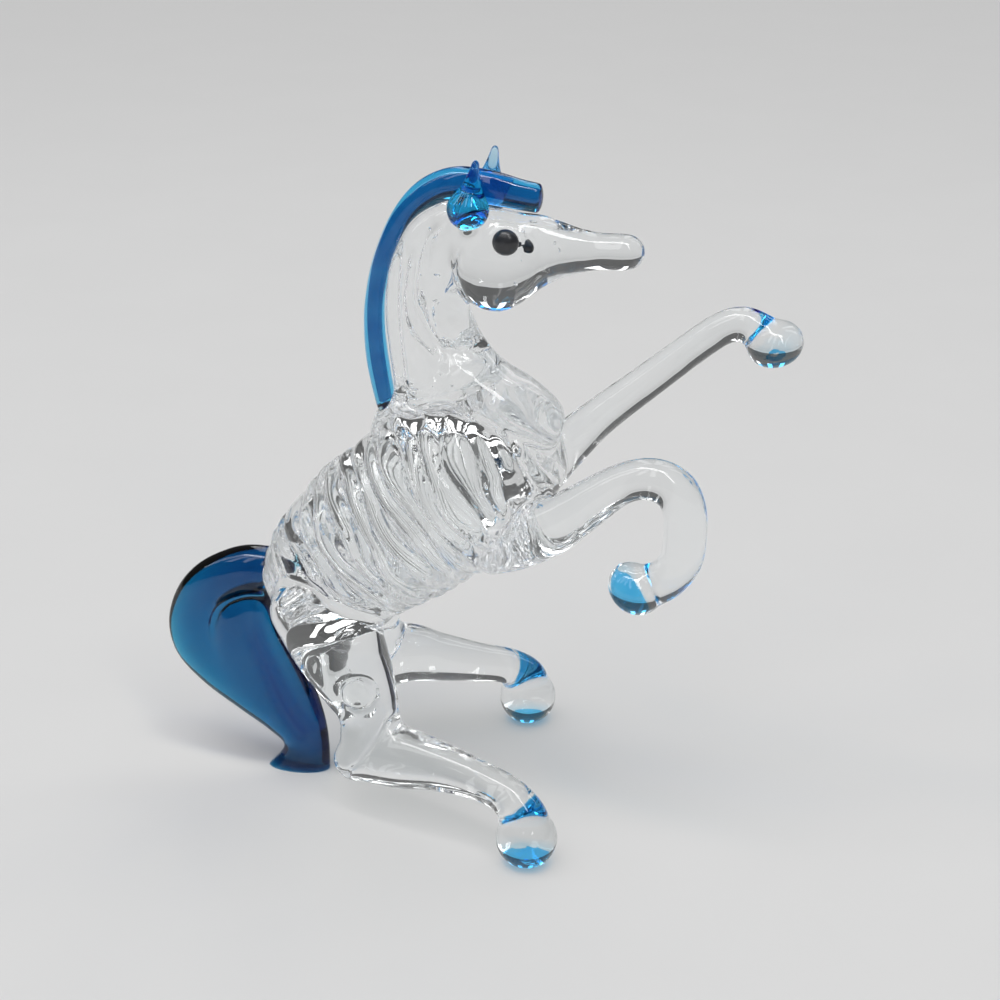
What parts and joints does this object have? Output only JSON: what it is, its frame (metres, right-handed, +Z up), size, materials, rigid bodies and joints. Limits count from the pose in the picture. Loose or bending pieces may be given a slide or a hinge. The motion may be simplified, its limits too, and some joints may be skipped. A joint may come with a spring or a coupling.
{
  "type": "glass horse figurine",
  "caption": "Lampworked glass figurine of a rearing horse in clear glass with a ribbed barrel, blue mane, ears, tail and soles, and dark eyes, standing on its hind hooves and tail.",
  "frame": {"origin": "on the surface that the horse stands on, under the middle of its box", "axes": "+X is the way the horse faces, +Y is the horse's left side, +Z is up"},
  "size_m": [0.1058, 0.057, 0.112],
  "materials": {
    "clear_glass": "clear, fire-polished",
    "blue_glass": "transparent cobalt to teal blue, fire-polished",
    "black_glass": "opaque near black, glossy"
  },
  "bodies": {
    "root": {"barrel": "clear_glass", "rib_coil": "clear_glass", "neck": "clear_glass", "head": "clear_glass", "left_foreleg": "clear_glass", "right_foreleg": "clear_glass", "left_hind_thigh": "clear_glass", "right_hind_thigh": "clear_glass", "left_hind_cannon": "clear_glass", "right_hind_cannon": "clear_glass", "left_fore_hoof": "clear_glass", "right_fore_hoof": "clear_glass", "left_hind_hoof": "clear_glass", "right_hind_hoof": "clear_glass", "left_fore_sole": "blue_glass", "right_fore_sole": "blue_glass", "left_hind_sole": "blue_glass", "right_hind_sole": "blue_glass", "mane": "blue_glass", "tail": "blue_glass", "left_ear": "blue_glass", "right_ear": "blue_glass", "left_eye": "black_glass", "right_eye": "black_glass"}
  },
  "joints": []
}
